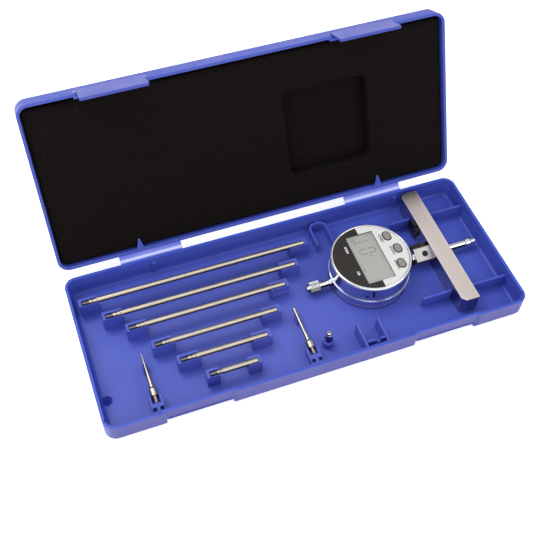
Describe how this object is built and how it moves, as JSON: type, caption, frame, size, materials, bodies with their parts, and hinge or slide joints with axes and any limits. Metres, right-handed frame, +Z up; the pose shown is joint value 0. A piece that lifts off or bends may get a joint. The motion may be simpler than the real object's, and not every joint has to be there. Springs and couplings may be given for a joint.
{
  "type": "depth gauge",
  "caption": "Digital depth gauge with a long flat base, in an open moulded case with extension rods and contact points, and a foam-lined lid with clasps.",
  "frame": {"origin": "centre of the tray's underside", "axes": "+X to the right along the case's long side and out of the base bar's measuring face, +Y to the hinges at the back, +Z up out of the tray"},
  "size_m": [0.299, 0.1879, 0.1356],
  "materials": {
    "case_plastic": "semi-gloss moulded, violet blue",
    "hinge_plastic": "thin flexed plastic, whitened",
    "foam": "soft open-cell foam, near black",
    "pin_steel": "ground",
    "housing_metal": "satin silver",
    "bezel": "bright, cream white",
    "face": "satin, cream and black",
    "lens": "clear",
    "lcd": "grey green display glass",
    "dark_plastic": "satin black",
    "button_grey": "satin grey",
    "button_black": "satin black",
    "dome": "soft",
    "board": "green solder mask",
    "cell": "polished",
    "spring_brass": "plain",
    "rear_metal": "satin silver grey",
    "screw_steel": "dark oxide",
    "ground_steel": "ground, fine lines round it",
    "chrome_steel": "polished",
    "copper_board": "etched copper",
    "spring_steel": "plain wire",
    "bar_nickel": "lapped, warm nickel",
    "block_steel": "machined",
    "knob_black": "knurled, satin",
    "rod_steel": "polished"
  },
  "bodies": {
    "tray": {"case_tray": "case_plastic", "living_hinges": "hinge_plastic"},
    "lid": {"case_lid": "case_plastic", "foam_pad": "foam", "foam_backing": "foam", "clasp_pins": "pin_steel"},
    "clasp_left": {"clasp_left": "case_plastic"},
    "clasp_right": {"clasp_right": "case_plastic"},
    "gauge": {"front_shell": "housing_metal", "bezel_ring": "bezel", "face_plate": "face", "window_lens": "lens", "lcd_panel": "lcd", "lcd_frame": "dark_plastic", "key_domes": "dome", "circuit_board": "board", "battery": "cell", "battery_clip": "spring_brass", "battery_door": "housing_metal", "door_screw": "screw_steel", "rear_housing": "rear_metal", "rear_cover": "rear_metal", "cover_screws": "screw_steel", "stem": "ground_steel", "upper_sleeve": "ground_steel", "stator_board": "board", "guide_rod": "ground_steel", "return_spring": "spring_steel", "base_bar": "bar_nickel", "clamp_block": "block_steel", "set_screw": "screw_steel", "bar_screws": "screw_steel"},
    "spindle": {"spindle": "ground_steel", "lifting_cap": "chrome_steel", "contact_point": "chrome_steel", "slider_bracket": "block_steel", "slider_plate": "copper_board"},
    "clamp_knob": {"clamp_knob": "knob_black"},
    "bar_knob": {"bar_knob": "knob_black"},
    "button_on": {"button_on": "button_grey"},
    "button_zero": {"button_zero": "button_grey"},
    "button_unit": {"button_unit": "button_grey"},
    "button_up": {"button_up": "button_black"},
    "button_down": {"button_down": "button_black"},
    "extension_rod_6": {"extension_rod_6": "rod_steel"},
    "extension_rod_5": {"extension_rod_5": "rod_steel"},
    "extension_rod_4": {"extension_rod_4": "rod_steel"},
    "extension_rod_3": {"extension_rod_3": "rod_steel"},
    "extension_rod_2": {"extension_rod_2": "rod_steel"},
    "extension_rod_1": {"extension_rod_1": "rod_steel"},
    "needle_point": {"needle_point": "rod_steel"},
    "flat_point": {"flat_point": "rod_steel"},
    "button_point": {"button_point": "chrome_steel"}
  },
  "joints": [
    {"name": "lid_hinge", "type": "hinge", "parent": "tray", "child": "lid", "pos_m": [0, 0.0638, 0.016], "axis": [-1, 0, 0], "range_deg": [-114, 66], "deforming": ["living_hinges"]},
    {"name": "clasp_swing_left", "type": "hinge", "parent": "lid", "child": "clasp_left", "pos_m": [-0.0875, 0.11858, 0.12724], "axis": [-1, 0, 0], "range_deg": [0, 100]},
    {"name": "clasp_swing_right", "type": "hinge", "parent": "lid", "child": "clasp_right", "pos_m": [0.0875, 0.11858, 0.12724], "axis": [-1, 0, 0], "range_deg": [0, 100]},
    {"name": "gauge_lift", "type": "slide", "parent": "tray", "child": "gauge", "axis": [0, 0, 1], "range_m": [0, 0.03]},
    {"name": "spindle_travel", "type": "slide", "parent": "gauge", "child": "spindle", "axis": [-1, 0, 0], "range_m": [0, 0.0254], "stiffness_N_per_m": 30, "springref_m": -0.02, "deforming": ["return_spring"]},
    {"name": "press_on", "type": "slide", "parent": "gauge", "child": "button_on", "axis": [0, 0, -1], "range_m": [0, 0.0007], "stiffness_N_per_m": 600, "springref_m": -0.0004},
    {"name": "press_zero", "type": "slide", "parent": "gauge", "child": "button_zero", "axis": [0, 0, -1], "range_m": [0, 0.0007], "stiffness_N_per_m": 600, "springref_m": -0.0004},
    {"name": "press_unit", "type": "slide", "parent": "gauge", "child": "button_unit", "axis": [0, 0, -1], "range_m": [0, 0.0007], "stiffness_N_per_m": 600, "springref_m": -0.0004},
    {"name": "press_up", "type": "slide", "parent": "gauge", "child": "button_up", "axis": [0, 0, -1], "range_m": [0, 0.0007], "stiffness_N_per_m": 600, "springref_m": -0.0004},
    {"name": "press_down", "type": "slide", "parent": "gauge", "child": "button_down", "axis": [0, 0, -1], "range_m": [0, 0.0007], "stiffness_N_per_m": 600, "springref_m": -0.0004},
    {"name": "clamp_turn", "type": "hinge", "parent": "gauge", "child": "clamp_knob", "pos_m": [0.0984, 0.00969, 0.01129], "axis": [0, 0.9135, 0.4067], "range_deg": [0, 360]},
    {"name": "bar_knob_turn", "type": "hinge", "parent": "gauge", "child": "bar_knob", "pos_m": [0.1034, 0.0272, 0.0096], "axis": [1, 0, 0], "range_deg": [0, 360]},
    {"name": "lift_extension_rod_6", "type": "slide", "parent": "tray", "child": "extension_rod_6", "axis": [0, 0, 1], "range_m": [0, 0.03]},
    {"name": "lift_extension_rod_5", "type": "slide", "parent": "tray", "child": "extension_rod_5", "axis": [0, 0, 1], "range_m": [0, 0.03]},
    {"name": "lift_extension_rod_4", "type": "slide", "parent": "tray", "child": "extension_rod_4", "axis": [0, 0, 1], "range_m": [0, 0.03]},
    {"name": "lift_extension_rod_3", "type": "slide", "parent": "tray", "child": "extension_rod_3", "axis": [0, 0, 1], "range_m": [0, 0.03]},
    {"name": "lift_extension_rod_2", "type": "slide", "parent": "tray", "child": "extension_rod_2", "axis": [0, 0, 1], "range_m": [0, 0.03]},
    {"name": "lift_extension_rod_1", "type": "slide", "parent": "tray", "child": "extension_rod_1", "axis": [0, 0, 1], "range_m": [0, 0.03]},
    {"name": "lift_needle_point", "type": "slide", "parent": "tray", "child": "needle_point", "axis": [0, 0, 1], "range_m": [0, 0.03]},
    {"name": "lift_flat_point", "type": "slide", "parent": "tray", "child": "flat_point", "axis": [0, 0, 1], "range_m": [0, 0.03]},
    {"name": "lift_button_point", "type": "slide", "parent": "tray", "child": "button_point", "axis": [0, 0, 1], "range_m": [0, 0.03]}
  ]
}
